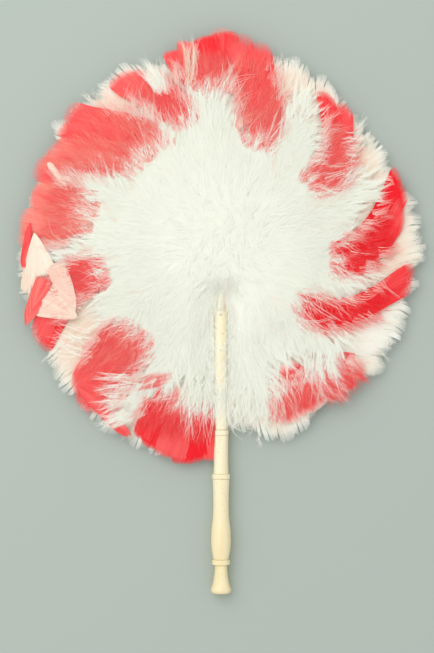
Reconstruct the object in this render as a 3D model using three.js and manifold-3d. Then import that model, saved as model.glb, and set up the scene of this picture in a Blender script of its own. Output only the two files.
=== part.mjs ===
// Round feather hand fan. A stiff card disc carries a ring of white feathers, a ring of red ones over
// it, short white coverts over both and a heart of white down, with more feathers and down behind.
// A turned bone handle in spigoted sections ends in a slotted stem that grips the card on three pins.
//
// Millimetres. The fan lies on its back: +Z is up, out of its face, and the handle runs along -Y.
// The origin is on the table under the centre of the card. A bearing is an angle in degrees,
// clockwise from +Y as seen from the side that a piece faces.
import * as THREE from "three";
import { mergeVertices } from "three/addons/utils/BufferGeometryUtils.js";
import Module from "manifold-3d";

const wasm = await Module();
wasm.setup();

// Fits
const SEAT = 0.3; // between a piece and what carries it
const SEAM = 0.1; // between the shoulders of two turned sections
const SPIGOT_FIT = 0.3; // round a spigot in its socket
const SOCKET_RELIEF = 0.6; // past the end of a spigot
const PIN_FIT = 0.3; // round a pin in its hole
const STEM_GAP = 0.6; // between the handle and the feathers or down beside it
const VANE_GAP = 1.2; // between neighbours of one layer
const LAYER_GAP = 1; // between a shaft and the vane above it

// Card disc
const CARD_RADIUS = 102;
const CARD_THICKNESS = 1.2;
const CARD_SIDES = 60;

// Turned handle, from the feathers down to its foot
const STEM_TIP_OFFSET = 30; // from the centre of the card to the tip of the stem
const STEM_TIP_LENGTH = 14;
const STEM_TIP_RADIUS = 3.3;
const STEM_SHOULDER_RADIUS = 3.9;
const STEM_RADIUS = 5.3;
const STEM_FOOT_RADIUS = 4.7;
const STEM_ROOT_LENGTH = 23; // solid, below the edge of the card
const BEAD_RADIUS = 5.3;
const BEAD_LENGTH = 3.6;
const SHANK_RADIUS = 5.1;
const SHANK_WAIST_RADIUS = 4.85;
const SHANK_LENGTH = 26;
const COLLAR_RADIUS = 6.1;
const COLLAR_LENGTH = 3.4;
const RING_ROUND = 0.7; // on the outer edges of the collars and the bead
const GRIP_LENGTH = 54.5;
const GRIP_TOP_RADIUS = 5.75;
const GRIP_WAIST_RADIUS = 5.25;
const GRIP_WAIST_HEIGHT = 36; // above the lower end of the grip
const GRIP_BELLY_RADIUS = 6.75;
const GRIP_BELLY_HEIGHT = 13;
const GRIP_END_RADIUS = 5.1;
const FOOT_LENGTH = 19.5;
const FOOT_NECK_RADIUS = 4.2;
const FOOT_RADIUS = 6.9;
const FOOT_FLAT_RADIUS = 4.2;
const FOOT_ROUND_HEIGHT = 2.8;
const FOOT_LIFT = 0.2; // between the foot and the table
const SPIGOT_RADIUS = 2.3;
const SPIGOT_REACH = 8; // into the next section
const TURNED_SIDES = 26;
const CURVE_STEPS = 5;
const ROUND_STEPS = 3;

// Pins through the stem and the card
const PIN_COUNT = 3;
const PIN_RADIUS = 0.7;
const PIN_HEAD_HEIGHT = 0.25;
const PIN_SIDES = 10;
const PIN_SHOULDER_MARGIN = 3; // from the stem's shoulder to the first pin
const PIN_EDGE_MARGIN = 7; // from the last pin to the edge of the card

// Feathers
const QUILL_RADIUS = 0.9;
const SHAFT_TAPER = 0.5; // of the shaft's size, lost towards the tip
const VANE_THICKNESS = 0.6;
const VANE_RIDGE = 0.3; // of the shaft above the vane
const VANE_CAMBER = 0.8; // fall of a vane's edges below its shaft
const DROOP_START = 90; // radius past which the feathers hang down a little
const DROOP_RATE = 0.0012; // fall in mm for each squared mm past it
const TIP_WIDTH = 3;
const VANE_STATIONS = [0, 0.1, 0.24, 0.4, 0.55, 0.68, 0.79, 0.88, 0.95, 0.985, 1];
const NICK = 0.8; // width left where a vane is split
const LEFT_NICKS = [5, 6, 7]; // the stations that are split, feather by feather
const RIGHT_NICKS = [7, 8, 6];
const FIRST_LEVEL = SEAT + QUILL_RADIUS + VANE_CAMBER;
const LAYER_STEP = VANE_CAMBER + VANE_THICKNESS / 2 + VANE_RIDGE + LAYER_GAP;

// Each layer of feathers: its level above the card, the radii where the quills start, have risen and
// stand straight, where the vanes start and how wide they are, and one [bearing of the tip, lean,
// reach] a feather. The lean turns the quill clockwise behind its tip.
const WHITE_RING = {
  level: FIRST_LEVEL,
  quillStart: 36,
  riseEnd: 50,
  leanEnd: 68,
  vaneStart: 48,
  vaneWidth: 46,
  feathers: [
    [25, 14, 134],
    [58, 14, 127],
    [88, 18, 135],
    [119, 18, 133],
    [144, 4, 123],
    [159, -1, 138],
    [171, -4, 125],
    [206, 4, 142],
    [230, 8, 141],
    [257, 10, 135],
    [270, 10, 134],
    [291, 12, 132],
    [319, 14, 137],
    [342, 12, 130],
  ],
};
const RED_RING = {
  level: FIRST_LEVEL + LAYER_STEP,
  quillStart: 40,
  riseEnd: 60,
  leanEnd: 68,
  vaneStart: 50,
  vaneWidth: 46,
  feathers: [
    [6, 14, 142],
    [43, 13, 127],
    [76, 18, 129],
    [101, 23, 131],
    [136, 7, 130],
    [152, 1, 131],
    [193, 0, 145],
    [216, 6, 143],
    [243, 12, 139],
    [280, 8, 135],
    [303, 18, 138],
    [331, 13, 132],
    [352, 8, 139],
  ],
};
const COVERT_RING = {
  level: FIRST_LEVEL + 2 * LAYER_STEP,
  quillStart: 13,
  riseEnd: 62,
  leanEnd: 50,
  vaneStart: 40,
  vaneWidth: 36,
  feathers: [
    [32, 6, 108],
    [66, 8, 104],
    [98, 8, 100],
    [130, 6, 102],
    [168, 2, 108],
    [205, 2, 112],
    [233, 5, 104],
    [264, 6, 104],
    [296, 8, 102],
    [326, 8, 106],
    [354, 6, 98],
  ],
};
const BACK_REACH = 132;
const BACK_RING = {
  level: FIRST_LEVEL,
  quillStart: 30,
  riseEnd: 46,
  leanEnd: 60,
  vaneStart: 42,
  vaneWidth: 56,
  feathers: [0, 40, 80, 120, 158, 202, 240, 280, 320].map((bearing) => [bearing, 0, BACK_REACH]),
};

// Down
const FRONT_DOWN_RADIUS = 74;
const FRONT_DOWN_CROWN = 6.5; // above the underside at its rim
const BACK_DOWN_OVERLAP = 8; // past the edge of the card
const DOWN_RIM_ROUND = 2.4;
const DOWN_CORE_GAP = 2; // from the glued core to the first quills
const DOWN_LOBES = 11;
const DOWN_SIDE_LOBES = 7;
const DOWN_LOBE_SHARE = 0.65; // of the lobes against the side lobes
const DOWN_LOBE_DEPTH = 0.07; // share of the radius
const DOWN_SWELL = 0.9; // rise and fall of the tufts over the crown
const DOWN_SIDES = 66;
const DOWN_CROWN_STATIONS = [1, 0.93, 0.8, 0.6, 0.35, 0];
const DOWN_HIDDEN_STATIONS = [0, 0.35, 0.65, 1];

// Heights above the table
const AXIS_HEIGHT = FOOT_RADIUS + FOOT_LIFT;
const CARD_FRONT = AXIS_HEIGHT + CARD_THICKNESS / 2;
const CARD_BACK = AXIS_HEIGHT - CARD_THICKNESS / 2;

// Places along the handle: the lower ends of its sections
const STEM_Y = -CARD_RADIUS - STEM_ROOT_LENGTH;
const BEAD_Y = STEM_Y - SEAM - BEAD_LENGTH;
const SHANK_Y = BEAD_Y - SEAM - SHANK_LENGTH;
const UPPER_COLLAR_Y = SHANK_Y - SEAM - COLLAR_LENGTH;
const GRIP_Y = UPPER_COLLAR_Y - SEAM - GRIP_LENGTH;
const LOWER_COLLAR_Y = GRIP_Y - SEAM - COLLAR_LENGTH;
const FOOT_Y = LOWER_COLLAR_Y - SEAM - FOOT_LENGTH;
const STEM_SHOULDER_Y = -STEM_TIP_OFFSET - STEM_TIP_LENGTH;
const STEM_SHOULDER_HEIGHT = STEM_SHOULDER_Y - STEM_Y;
const STEM_LENGTH = STEM_SHOULDER_HEIGHT + STEM_TIP_LENGTH;
const HANDLE_CLEAR_RADIUS = Math.max(STEM_RADIUS, BEAD_RADIUS, SHANK_RADIUS) + STEM_GAP;

// Materials
const bone = new THREE.MeshStandardMaterial({ color: 0xf2e4bd, roughness: 0.38, metalness: 0 });
const pinMetal = new THREE.MeshStandardMaterial({ color: 0x8c7a58, roughness: 0.45, metalness: 0.9 });
const pasteboard = new THREE.MeshStandardMaterial({ color: 0xd9ccb2, roughness: 0.9, metalness: 0 });
const redFeather = new THREE.MeshStandardMaterial({ color: 0xe63a45, roughness: 0.7, metalness: 0 });
const whiteFeather = new THREE.MeshStandardMaterial({ color: 0xf3f1e4, roughness: 0.7, metalness: 0 });
const whiteDown = new THREE.MeshStandardMaterial({ color: 0xf5f7ec, roughness: 0.9, metalness: 0 });

// The fan's groups: the handle on its axis, and what is glued to the card's face and back
const fan = new THREE.Group();
const handle = new THREE.Group();
const front = new THREE.Group();
const back = new THREE.Group();
handle.position.z = AXIS_HEIGHT;
front.position.z = CARD_FRONT;
back.position.z = CARD_BACK;
back.rotation.y = Math.PI;
fan.add(handle, front, back);

function addPiece(group, name, geometry, material) {
  const mesh = new THREE.Mesh(geometry, material);
  mesh.name = name;
  group.add(mesh);
  return mesh;
}

// Solids and cuts

function solidOf(geometry) {
  const bare = geometry.clone();
  bare.deleteAttribute("normal");
  bare.deleteAttribute("uv");
  const merged = mergeVertices(bare, 1e-4);
  return new wasm.Manifold(
    new wasm.Mesh({
      numProp: 3,
      vertProperties: merged.attributes.position.array,
      triVerts: new Uint32Array(merged.index.array),
    }),
  );
}

function cut(geometry, ...tools) {
  const solid = tools.reduce((left, tool) => left.subtract(solidOf(tool)), solidOf(geometry));
  const { vertProperties, triVerts } = solid.getMesh();
  const result = new THREE.BufferGeometry();
  result.setAttribute("position", new THREE.BufferAttribute(vertProperties, 3));
  result.setIndex(new THREE.BufferAttribute(triVerts, 1));
  result.computeVertexNormals();
  return result;
}

// A closed skin over rings of equally many points, capped flat at both ends.
function loft(rings) {
  const size = rings[0].length;
  const faces = [];
  for (let ring = 0; ring < rings.length - 1; ring++) {
    for (let i = 0; i < size; i++) {
      const a = ring * size + i;
      const b = ring * size + ((i + 1) % size);
      faces.push(a, b, b + size, a, b + size, a + size);
    }
  }
  const last = (rings.length - 1) * size;
  for (let i = 1; i < size - 1; i++) {
    faces.push(0, i + 1, i, last, last + i, last + i + 1);
  }
  const geometry = new THREE.BufferGeometry().setFromPoints(rings.flat());
  geometry.setIndex(faces);
  geometry.computeVertexNormals();
  return geometry;
}

// Turned handle

// A section turned about the handle's axis. The profile runs up the outside from its lower end. A
// socket opens in the lower end for the section below, and a spigot stands on the upper end, through
// the ring above it and into the next section.
function turnedSection(name, y, profile, { socket = false, ringAbove = 0 } = {}) {
  const top = profile[profile.length - 1].y;
  const socketRadius = SPIGOT_RADIUS + SPIGOT_FIT;
  const socketTop = SPIGOT_REACH + SOCKET_RELIEF;
  const spigotTop = top + ringAbove + 2 * SEAM + SPIGOT_REACH;
  const inside = [[0, socketTop], [socketRadius, socketTop], [socketRadius, 0]];
  const spigot = [[SPIGOT_RADIUS, top], [SPIGOT_RADIUS, spigotTop], [0, spigotTop]];
  const points = [
    ...(socket ? inside : [[0, 0]]).map(([radius, height]) => new THREE.Vector2(radius, height)),
    ...profile,
    ...(ringAbove ? spigot : [[0, top]]).map(([radius, height]) => new THREE.Vector2(radius, height)),
  ];
  const section = addPiece(handle, name, new THREE.LatheGeometry(points, TURNED_SIDES), bone);
  section.position.y = y;
  return section;
}

// A ring on a spigot, with rounded outer edges.
function turnedRing(name, y, length, radius) {
  const bore = SPIGOT_RADIUS + SPIGOT_FIT;
  const outline = new THREE.Path();
  outline.moveTo(bore, 0);
  outline.lineTo(radius - RING_ROUND, 0);
  outline.quadraticCurveTo(radius, 0, radius, RING_ROUND);
  outline.lineTo(radius, length - RING_ROUND);
  outline.quadraticCurveTo(radius, length, radius - RING_ROUND, length);
  outline.lineTo(bore, length);
  outline.closePath();
  const geometry = new THREE.LatheGeometry(outline.getPoints(ROUND_STEPS), TURNED_SIDES);
  const ring = addPiece(handle, name, geometry, bone);
  ring.position.y = y;
}

function footProfile() {
  const outline = new THREE.Path();
  outline.moveTo(FOOT_FLAT_RADIUS, 0);
  outline.quadraticCurveTo(FOOT_RADIUS, 0, FOOT_RADIUS, FOOT_ROUND_HEIGHT);
  outline.quadraticCurveTo(FOOT_NECK_RADIUS, FOOT_LENGTH / 2, FOOT_NECK_RADIUS, FOOT_LENGTH);
  return outline.getPoints(CURVE_STEPS);
}

function gripProfile() {
  const rising = GRIP_BELLY_HEIGHT / 2;
  const falling = (GRIP_BELLY_HEIGHT + GRIP_WAIST_HEIGHT) / 2;
  const flaring = (GRIP_WAIST_HEIGHT + GRIP_LENGTH) / 2;
  const outline = new THREE.Path();
  outline.moveTo(GRIP_END_RADIUS, 0);
  outline.quadraticCurveTo(GRIP_BELLY_RADIUS, rising, GRIP_BELLY_RADIUS, GRIP_BELLY_HEIGHT);
  outline.bezierCurveTo(
    GRIP_BELLY_RADIUS,
    falling,
    GRIP_WAIST_RADIUS,
    falling,
    GRIP_WAIST_RADIUS,
    GRIP_WAIST_HEIGHT,
  );
  outline.quadraticCurveTo(GRIP_WAIST_RADIUS, flaring, GRIP_TOP_RADIUS, GRIP_LENGTH);
  return outline.getPoints(CURVE_STEPS);
}

function shankProfile() {
  const waist = 2 * SHANK_WAIST_RADIUS - SHANK_RADIUS;
  const outline = new THREE.Path();
  outline.moveTo(SHANK_RADIUS, 0);
  outline.quadraticCurveTo(waist, SHANK_LENGTH / 2, SHANK_RADIUS, SHANK_LENGTH);
  return outline.getPoints(CURVE_STEPS);
}

// The stem's long taper, from its foot to its shoulder.
function stemTaper() {
  return new THREE.QuadraticBezierCurve(
    new THREE.Vector2(STEM_FOOT_RADIUS, 0),
    new THREE.Vector2(STEM_RADIUS, STEM_SHOULDER_HEIGHT / 2),
    new THREE.Vector2(STEM_RADIUS, STEM_SHOULDER_HEIGHT),
  );
}

function stemProfile() {
  const tip = new THREE.Path();
  tip.moveTo(STEM_SHOULDER_RADIUS, STEM_SHOULDER_HEIGHT);
  tip.lineTo(STEM_TIP_RADIUS, STEM_LENGTH - STEM_TIP_RADIUS);
  tip.quadraticCurveTo(STEM_TIP_RADIUS, STEM_LENGTH, 0, STEM_LENGTH);
  return [...stemTaper().getPoints(CURVE_STEPS), ...tip.getPoints(ROUND_STEPS).slice(0, -1)];
}

function pinPlaces() {
  const first = STEM_SHOULDER_Y - PIN_SHOULDER_MARGIN;
  const last = PIN_EDGE_MARGIN - CARD_RADIUS;
  return Array.from({ length: PIN_COUNT }, (_, i) => lerp(first, last, i / (PIN_COUNT - 1)));
}

// A pin's hole along Z, through both cheeks of the stem and the card between them.
function pinHole(y) {
  const radius = PIN_RADIUS + PIN_FIT;
  const hole = new THREE.CylinderGeometry(radius, radius, 4 * STEM_RADIUS, PIN_SIDES);
  return hole.rotateX(Math.PI / 2).translate(0, y, 0);
}

function addHandle() {
  turnedSection("handle_foot", FOOT_Y, footProfile(), { ringAbove: COLLAR_LENGTH });
  turnedRing("lower_collar", LOWER_COLLAR_Y, COLLAR_LENGTH, COLLAR_RADIUS);
  turnedSection("grip", GRIP_Y, gripProfile(), { socket: true, ringAbove: COLLAR_LENGTH });
  turnedRing("upper_collar", UPPER_COLLAR_Y, COLLAR_LENGTH, COLLAR_RADIUS);
  turnedSection("shank", SHANK_Y, shankProfile(), { socket: true, ringAbove: BEAD_LENGTH });
  turnedRing("neck_bead", BEAD_Y, BEAD_LENGTH, BEAD_RADIUS);
  const stem = turnedSection("slotted_stem", STEM_Y, stemProfile(), { socket: true });
  const slotEnd = STEM_ROOT_LENGTH - SEAT;
  const slot = new THREE.BoxGeometry(4 * STEM_RADIUS, STEM_LENGTH, CARD_THICKNESS + 2 * SEAT);
  slot.translate(0, slotEnd + STEM_LENGTH / 2, 0);
  stem.geometry = cut(stem.geometry, slot, ...pinPlaces().map((y) => pinHole(y - STEM_Y)));
}

function addPins() {
  pinPlaces().forEach((y, i) => {
    const half = stemTaper().getPoint((y - STEM_Y) / STEM_SHOULDER_HEIGHT).x;
    const profile = [
      new THREE.Vector2(0, -half - PIN_HEAD_HEIGHT),
      new THREE.Vector2(PIN_RADIUS, -half),
      new THREE.Vector2(PIN_RADIUS, half),
      new THREE.Vector2(0, half + PIN_HEAD_HEIGHT),
    ];
    const pin = addPiece(handle, `stem_pin_${i + 1}`, new THREE.LatheGeometry(profile, PIN_SIDES), pinMetal);
    pin.rotation.x = Math.PI / 2;
    pin.position.y = y;
  });
}

function addCard() {
  const disc = new THREE.CylinderGeometry(CARD_RADIUS, CARD_RADIUS, CARD_THICKNESS, CARD_SIDES);
  disc.rotateX(Math.PI / 2);
  addPiece(handle, "card_disc", cut(disc, ...pinPlaces().map(pinHole)), pasteboard);
}

// Feathers

const { degToRad, euclideanModulo, lerp, radToDeg } = THREE.MathUtils;
const smooth = (t) => THREE.MathUtils.smoothstep(t, 0, 1);
const droop = (radius) => DROOP_RATE * Math.max(0, radius - DROOP_START) ** 2;

// Half the angle that a strip of some half width along the handle fills at a radius.
const handleAngle = (halfWidth, radius) => radToDeg(Math.asin(Math.min(1, halfWidth / radius)));

// Height of a shaft above the card: seated at its root, then up to its layer's level.
function shaftHeight(ring, radius) {
  const rise = smooth((radius - ring.quillStart) / (ring.riseEnd - ring.quillStart));
  return lerp(SEAT + QUILL_RADIUS, ring.level, rise);
}

// Bearing of a shaft at a radius. Where the stem is, the shaft passes beside it.
function shaftBearing(ring, [tip, lean, reach], radius) {
  const fromHandle = tip + lean * smooth((reach - radius) / (reach - ring.leanEnd)) - 180;
  const strip = radius < STEM_TIP_OFFSET ? 0 : HANDLE_CLEAR_RADIUS + 2 * QUILL_RADIUS;
  return 180 + Math.sign(fromHandle) * Math.max(Math.abs(fromHandle), handleAngle(strip, radius));
}

// The angles that a vane may fill at a radius, left and right of its shaft: half way to the
// neighbours of its layer, and clear of the handle.
function freeAngles(ring, index, radius) {
  const { feathers } = ring;
  const shaftOf = (i) => shaftBearing(ring, feathers.at(i % feathers.length), radius);
  const own = shaftOf(index);
  const gap = radToDeg(VANE_GAP / radius);
  const stem = handleAngle(HANDLE_CLEAR_RADIUS, radius);
  const toLast = euclideanModulo(own - shaftOf(index - 1), 360);
  const toNext = euclideanModulo(shaftOf(index + 1) - own, 360);
  return {
    left: Math.min((toLast - gap) / 2, euclideanModulo(own - 180 - stem, 360)),
    right: Math.min((toNext - gap) / 2, euclideanModulo(180 - stem - own, 360)),
  };
}

// Half the width of a vane: narrow at its base, full past the middle and round at the tip.
function vaneHalfWidth(ring, s) {
  return (ring.vaneWidth / 2) * s ** 0.6 * Math.sqrt(1 - s ** 5);
}

// One feather, with its root's bearing along +Y: sections across its shaft, with a fine edge left and
// right, a raised shaft and a flat underside. The sag is 1 where the feather hangs towards the card.
function featherGeometry(ring, index, sag) {
  const feather = ring.feathers[index];
  const reach = feather[2];
  const root = shaftBearing(ring, feather, ring.quillStart);
  const quill = [ring.quillStart, (ring.quillStart + ring.vaneStart) / 2];
  const vane = VANE_STATIONS.map((s) => lerp(ring.vaneStart, reach, s));
  const rings = [...quill, ...vane].map((radius, i) => {
    const station = i - quill.length;
    const s = VANE_STATIONS[Math.max(0, station)];
    const taper = 1 - SHAFT_TAPER * s;
    const least = s === 1 ? TIP_WIDTH / 2 : QUILL_RADIUS * taper;
    const thick = s === 0 ? QUILL_RADIUS : VANE_THICKNESS / 2;
    const ridge = s === 0 ? 0 : VANE_RIDGE * taper;
    const fall = VANE_CAMBER * smooth(s / VANE_STATIONS[2]);
    const free = freeAngles(ring, index, radius);
    const full = vaneHalfWidth(ring, s);
    const half = (nicks) => full * (station === nicks[index % nicks.length] ? NICK : 1);
    const left = Math.min(radToDeg(Math.max(least, half(LEFT_NICKS)) / radius), free.left);
    const right = Math.min(radToDeg(Math.max(least, half(RIGHT_NICKS)) / radius), free.right);
    const bend = shaftBearing(ring, feather, radius) - root;
    const place = (turn, up) => {
      const angle = degToRad(bend + turn);
      const height = shaftHeight(ring, radius) + up - sag * droop(radius);
      return new THREE.Vector3(radius * Math.sin(angle), radius * Math.cos(angle), height);
    };
    return [
      place(-left / 2, thick - fall / 4),
      place(0, thick + ridge),
      place(right / 2, thick - fall / 4),
      place(right, -fall),
      place(0, -thick),
      place(-left, -fall),
    ];
  });
  return loft(rings);
}

function addFeathers(group, ring, name, material, sag) {
  ring.feathers.forEach((feather, i) => {
    const number = String(i + 1).padStart(2, "0");
    const mesh = addPiece(group, `${name}_${number}`, featherGeometry(ring, i, sag), material);
    mesh.rotation.z = -degToRad(shaftBearing(ring, feather, ring.quillStart));
  });
}

// Down

// A lobed round of down. The profile of [radius, height, tufts] points runs from the axis underneath
// to the axis on top. The lobes grow with the radius, and the tufts stand over them.
function lobedRound(profile, fullRadius) {
  const points = [];
  const faces = [];
  const rows = profile.slice(1, -1);
  rows.forEach(([radius, height, tufts = 0]) => {
    for (let i = 0; i < DOWN_SIDES; i++) {
      const angle = (2 * Math.PI * i) / DOWN_SIDES;
      const sideWave = Math.cos(DOWN_SIDE_LOBES * angle + 1);
      const wave = lerp(sideWave, Math.cos(DOWN_LOBES * angle), DOWN_LOBE_SHARE);
      const across = radius * (1 + DOWN_LOBE_DEPTH * wave * (radius / fullRadius) ** 2);
      const up = height + tufts * wave;
      points.push(new THREE.Vector3(across * Math.sin(angle), across * Math.cos(angle), up));
    }
  });
  const under = points.push(new THREE.Vector3(0, 0, profile[0][1])) - 1;
  const top = points.push(new THREE.Vector3(0, 0, profile[profile.length - 1][1])) - 1;
  const lastRow = (rows.length - 1) * DOWN_SIDES;
  for (let i = 0; i < DOWN_SIDES; i++) {
    const next = (i + 1) % DOWN_SIDES;
    for (let row = 0; row < rows.length - 1; row++) {
      const a = row * DOWN_SIDES + i;
      const b = row * DOWN_SIDES + next;
      faces.push(a, b + DOWN_SIDES, b, a, a + DOWN_SIDES, b + DOWN_SIDES);
    }
    faces.push(under, i, next, top, lastRow + next, lastRow + i);
  }
  const geometry = new THREE.BufferGeometry().setFromPoints(points);
  geometry.setIndex(faces);
  return geometry;
}

// The parting that the stem lies in.
function stemParting() {
  const length = 2 * CARD_RADIUS;
  const parting = new THREE.BoxGeometry(2 * HANDLE_CLEAR_RADIUS, length, 10 * AXIS_HEIGHT);
  return parting.translate(0, STEM_GAP - STEM_TIP_OFFSET - length / 2, 0);
}

// The side of the down that lies over a ring's quills, from its glued core to its rim.
function hiddenSide(ring, rimRadius, sag) {
  const core = ring.quillStart - DOWN_CORE_GAP;
  const clear = QUILL_RADIUS + 2 * SEAT;
  const over = DOWN_HIDDEN_STATIONS.map((t) => lerp(core, ring.riseEnd, t));
  return [
    [0, SEAT],
    [core, SEAT],
    ...over.map((radius) => [radius, shaftHeight(ring, radius + DOWN_CORE_GAP) + clear]),
    [rimRadius, ring.level + clear - sag * droop(rimRadius * (1 + DOWN_LOBE_DEPTH))],
  ];
}

function addFrontDown() {
  const under = hiddenSide(COVERT_RING, FRONT_DOWN_RADIUS - DOWN_RIM_ROUND, 1);
  const rim = under[under.length - 1][1] + DOWN_RIM_ROUND / 2;
  const crown = DOWN_CROWN_STATIONS.map((share) => [
    FRONT_DOWN_RADIUS * share,
    rim + (FRONT_DOWN_CROWN - DOWN_RIM_ROUND / 2) * Math.sqrt(1 - share ** 2),
    4 * DOWN_SWELL * share * (1 - share),
  ]);
  const round = lobedRound([...under, ...crown], FRONT_DOWN_RADIUS);
  addPiece(front, "front_down", cut(round, stemParting()), whiteDown);
}

// The down behind the card reaches the table, and is pressed flat on it.
function addBackDown() {
  const radius = CARD_RADIUS + BACK_DOWN_OVERLAP;
  const under = hiddenSide(BACK_RING, radius - DOWN_RIM_ROUND, -1);
  const rim = (under[under.length - 1][1] + CARD_BACK) / 2;
  const pressed = [
    [radius, rim],
    [radius - DOWN_RIM_ROUND, CARD_BACK],
    [0, CARD_BACK],
  ];
  const round = lobedRound([...under, ...pressed], radius);
  addPiece(back, "back_down", cut(round, stemParting()), whiteDown);
}

addHandle();
addPins();
addCard();
addFeathers(front, WHITE_RING, "white_feather", whiteFeather, 1);
addFeathers(front, RED_RING, "red_feather", redFeather, 1);
addFeathers(front, COVERT_RING, "covert_feather", whiteFeather, 1);
addFeathers(back, BACK_RING, "back_feather", whiteFeather, -1);
addFrontDown();
addBackDown();

export default fan;
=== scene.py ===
"""Dresses the round feather fan: barbed feathers, down, and a turned bone handle.

Lengths are in millimetres until a mesh is made. A place on the fan is given by its radius from the disc's
centre and its bearing, clockwise from +Y as seen from above.
"""

from types import SimpleNamespace

import bpy
import numpy as np
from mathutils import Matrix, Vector


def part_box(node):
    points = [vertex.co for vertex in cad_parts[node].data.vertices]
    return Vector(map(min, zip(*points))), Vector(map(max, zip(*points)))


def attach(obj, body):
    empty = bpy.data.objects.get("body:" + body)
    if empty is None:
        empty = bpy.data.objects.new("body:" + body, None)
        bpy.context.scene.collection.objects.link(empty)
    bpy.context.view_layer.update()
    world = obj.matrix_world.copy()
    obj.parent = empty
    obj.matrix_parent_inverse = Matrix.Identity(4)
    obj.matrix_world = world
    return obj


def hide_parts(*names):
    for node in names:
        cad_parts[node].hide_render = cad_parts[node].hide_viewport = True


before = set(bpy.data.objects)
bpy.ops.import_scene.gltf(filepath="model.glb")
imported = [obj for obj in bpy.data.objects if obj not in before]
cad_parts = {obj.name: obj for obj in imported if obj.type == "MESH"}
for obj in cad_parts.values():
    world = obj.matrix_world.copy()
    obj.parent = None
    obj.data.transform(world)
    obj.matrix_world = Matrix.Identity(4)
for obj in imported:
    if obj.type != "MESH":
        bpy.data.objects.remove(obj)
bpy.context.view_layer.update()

MM = 0.001
BODY = "root"
SHADE_STEP = 0.006

# The photograph's framing: straight down, with the long side of the picture along Y
VIEW_CENTRE = (-2.7, -55.0)
VIEW_HEIGHT = 440.8
CAMERA_HEIGHT = 1500.0
FACE_HEIGHT = 13.0
SENSOR = 36.0

# The stage, in metres
FLOOR_HALF = 12
LAMP_PLACE = (-0.55, 0.5, 1.3)
LAMP_SIZE = 1.6
LAMP_POWER = 11
SKY_STRENGTH = 0.76

# Barbs of a vane
BARB_STEPS = 6
VANE_CAMBER = 0.7
CLUMP_WAVE = 0.35
BOW_START = 60
# Where the first barb ends, as a share of the vane's edge, and where barbs bend, as shares of their run
# along the shaft and across it
FIRST_BARB = 0.3
BARB_BEND = (0.42, 0.62)

# One row for each red feather, in order: how far in its bunch shows (mm), how wide it spreads at the rim,
# how far its middle bows and its tip swings clockwise (degrees), its length as a share of the CAD feather,
# its shade, how far along the dye's scale its tip comes (the dye fades again past 0.75), and how much shorter
# its clockwise edge is, as a share of its length (below 0, its other edge)
RED_BUNCHES = [
    (73, 15, 0.5, -1, 1.06, 0.52, 0.7, 0.0),
    (74, 14, 6, -6, 1.01, 0.46, 0.7, 0.0),
    (78, 15, 7, -3, 1.03, 0.07, 0.7, 0.0),
    (66, 11.5, 4.3, -1.6, 1.05, 0.05, 0.7, 0.0),
    (110, 14, 0, 1.5, 1.01, 0.40, 0.78, -0.12),
    (104, 18, 0, 1, 1.05, 0.46, 1.0, 0.1),
    (109, 24, 0, 0, 1.04, 0.25, 0.72, 0.1),
    (82, 17, 3, 2, 1.05, 0.49, 0.74, 0.0),
    (82, 13, 6, 0, 1.09, 0.38, 0.72, 0.0),
    (94, 20, -2, 0, 1.02, 0.62, 0.78, 0.0),
    (78, 25.5, 0, -1.5, 1.02, 0.58, 0.78, 0.0),
    (87, 12.5, 1.5, -0.5, 1.03, 0.42, 0.72, 0.0),
    (108, 18.5, 0, 2.5, 1.055, 0.48, 0.7, -0.2),
]
# The same for each white feather: its spread, how far its tip swings clockwise, its length share, its shade
WHITE_BUNCHES = [
    (30, -2, 1.04, 0.36),
    (30, 0, 1.03, 0.46),
    (30, 0, 1.06, 0.45),
    (33, 2, 1.06, 0.75),
    (26, -2, 1.05, 0.70),
    (23, 1, 1.04, 0.80),
    (12, 0, 0.80, 0.85),
    (30, 0, 1.07, 0.50),
    (30, 0, 1.05, 0.55),
    (30, 0, 1.05, 0.50),
    (30, 0, 1.04, 0.50),
    (30, 0, 1.00, 0.40),
    (30, 0, 1.04, 0.40),
    (30, 0, 1.03, 0.40),
]
# The same for each back feather: how wide it spreads, and how far it swings clockwise
BACK_BUNCHES = [(44, 0)] * 4 + [(26, -7)] + [(44, 0)] * 4

# The fringe: rows of wisps, the wisps in a row, the strands in a wisp, the outer row's radius, the step
# between rows, and the tries at hairs along the red borders
FRINGE_ROWS = 8
FRINGE_COUNT = 230
FRINGE_STRANDS = 9
FRINGE_REACH = 106
FRINGE_STEP = 5.5
HAIR_TRIES = 9000

# Down
HEART_RADIUS = 70
HEART_HEIGHT = 3.6
SKIRT_RADIUS = 96
SKIRT_DROP = 2.6
BACK_RADIUS = 108

# The fan's face over the red vanes: its height over their shafts, its droop, and the radius where that starts
RED_LOFT = 1.1
RED_DROOP = 0.0012
DROOP_START = 90

# The stem's trench: its floor's half width, the run of its sides, how far its end slopes ahead of the stem's
# tip and behind it, how far the stem stands out, and the share of its half width kept clear of strands
TRENCH_FLOOR = 5
TRENCH_SLOPE = 11
HOLLOW_AHEAD = 10
HOLLOW_BEHIND = 6
STEM_SHOWN = 2.4
STEM_COVER = 0.95
STEM_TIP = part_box("slotted_stem")[1].y / MM
STEM_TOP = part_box("slotted_stem")[1].z / MM

# Handle
HANDLE_AXIS = 0.5 * (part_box("handle_foot")[0].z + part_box("handle_foot")[1].z) / MM
SPIGOT_LIMIT = 2.9
STEM_TIP_LENGTH = 14
STEM_TIP_RADII = (3.9, 3.3)
STEM_EDGE = 0.35
SLOT_END = -101.7
SLOT_HALF = 0.9


def node_points(node):
    """The vertices of a CAD node, in millimetres."""
    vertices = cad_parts[node].data.vertices
    flat = np.empty(len(vertices) * 3, np.float32)
    vertices.foreach_get("co", flat)
    return flat.reshape(-1, 3).astype(float) / MM


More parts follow.
